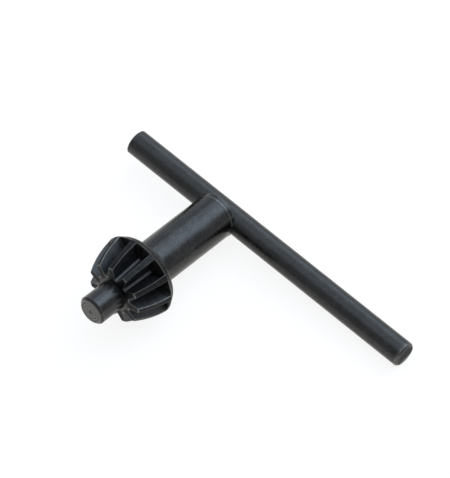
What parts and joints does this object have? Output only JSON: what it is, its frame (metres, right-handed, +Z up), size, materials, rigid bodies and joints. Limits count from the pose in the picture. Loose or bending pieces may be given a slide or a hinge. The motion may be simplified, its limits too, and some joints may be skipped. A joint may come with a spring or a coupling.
{
  "type": "drill chuck key",
  "caption": "Steel chuck key with a round cross handle, a plain shank, a bevel pinion and a round pilot in front of it, lying on its side.",
  "frame": {"origin": "on the surface that the key lies on, under the middle of its footprint", "axes": "+X runs with the handle bar towards its long arm, -Y runs with the shank towards the pilot, +Z is up; the key lies as it comes to rest, so the pilot points about 10 degrees upwards"},
  "size_m": [0.0758, 0.0424, 0.0182],
  "materials": {
    "body_steel": "black oxide on turned and cut steel",
    "bar_steel": "black oxide on drawn bar"
  },
  "bodies": {
    "root": {"key_body": "body_steel", "handle_bar": "bar_steel"}
  },
  "joints": []
}
